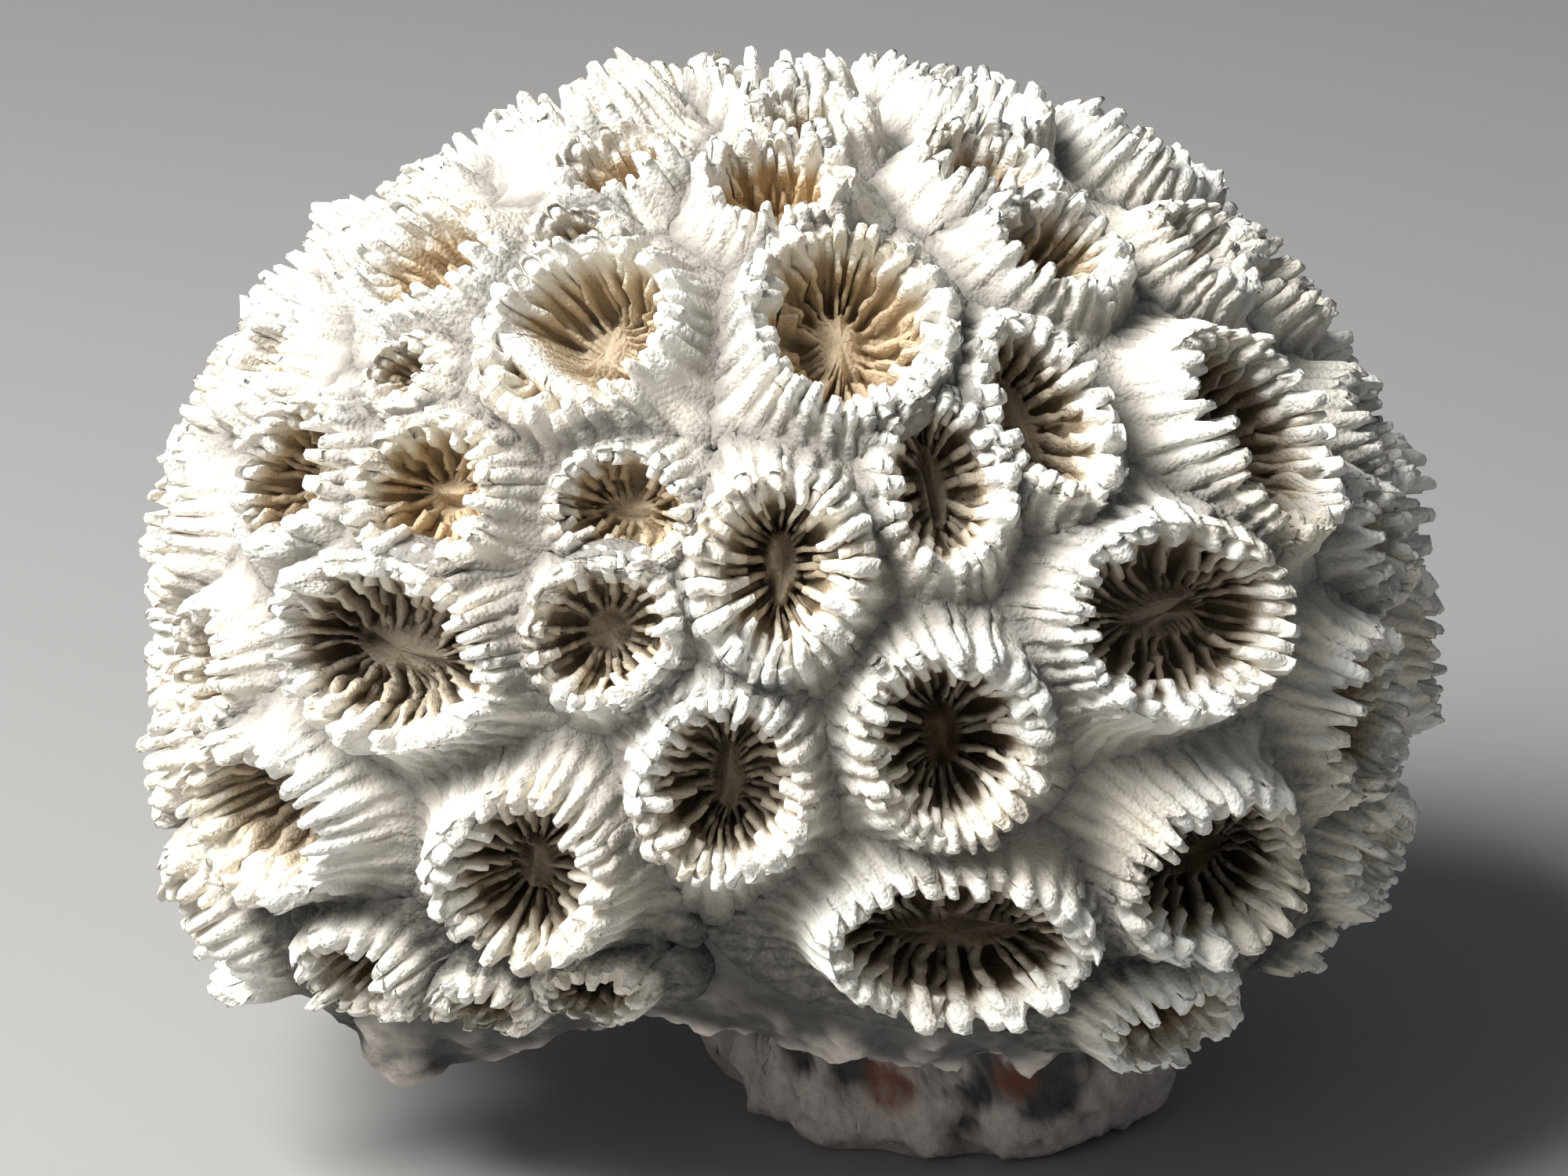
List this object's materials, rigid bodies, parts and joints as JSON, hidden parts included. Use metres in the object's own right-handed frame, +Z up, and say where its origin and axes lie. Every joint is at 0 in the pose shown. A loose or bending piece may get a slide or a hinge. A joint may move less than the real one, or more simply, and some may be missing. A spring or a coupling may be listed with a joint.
{
  "type": "star coral head",
  "caption": "Bleached star coral skeleton: a swollen, mushroom-shaped head crowded with raised, toothed cups on a short stub cut off flat, for standing on a surface as a specimen or ornament.",
  "frame": {"origin": "middle of the flat cut under the stub, on the surface that the coral stands on", "axes": "+Z up, away from the cut; +X along the head's greatest width, to the right in the picture; the pictured side faces -Y"},
  "size_m": [0.04, 0.0362, 0.0335],
  "materials": {
    "skeleton": "matt, fine-grained bleached coral limestone"
  },
  "bodies": {
    "root": {"coral_head": "skeleton"}
  },
  "joints": []
}
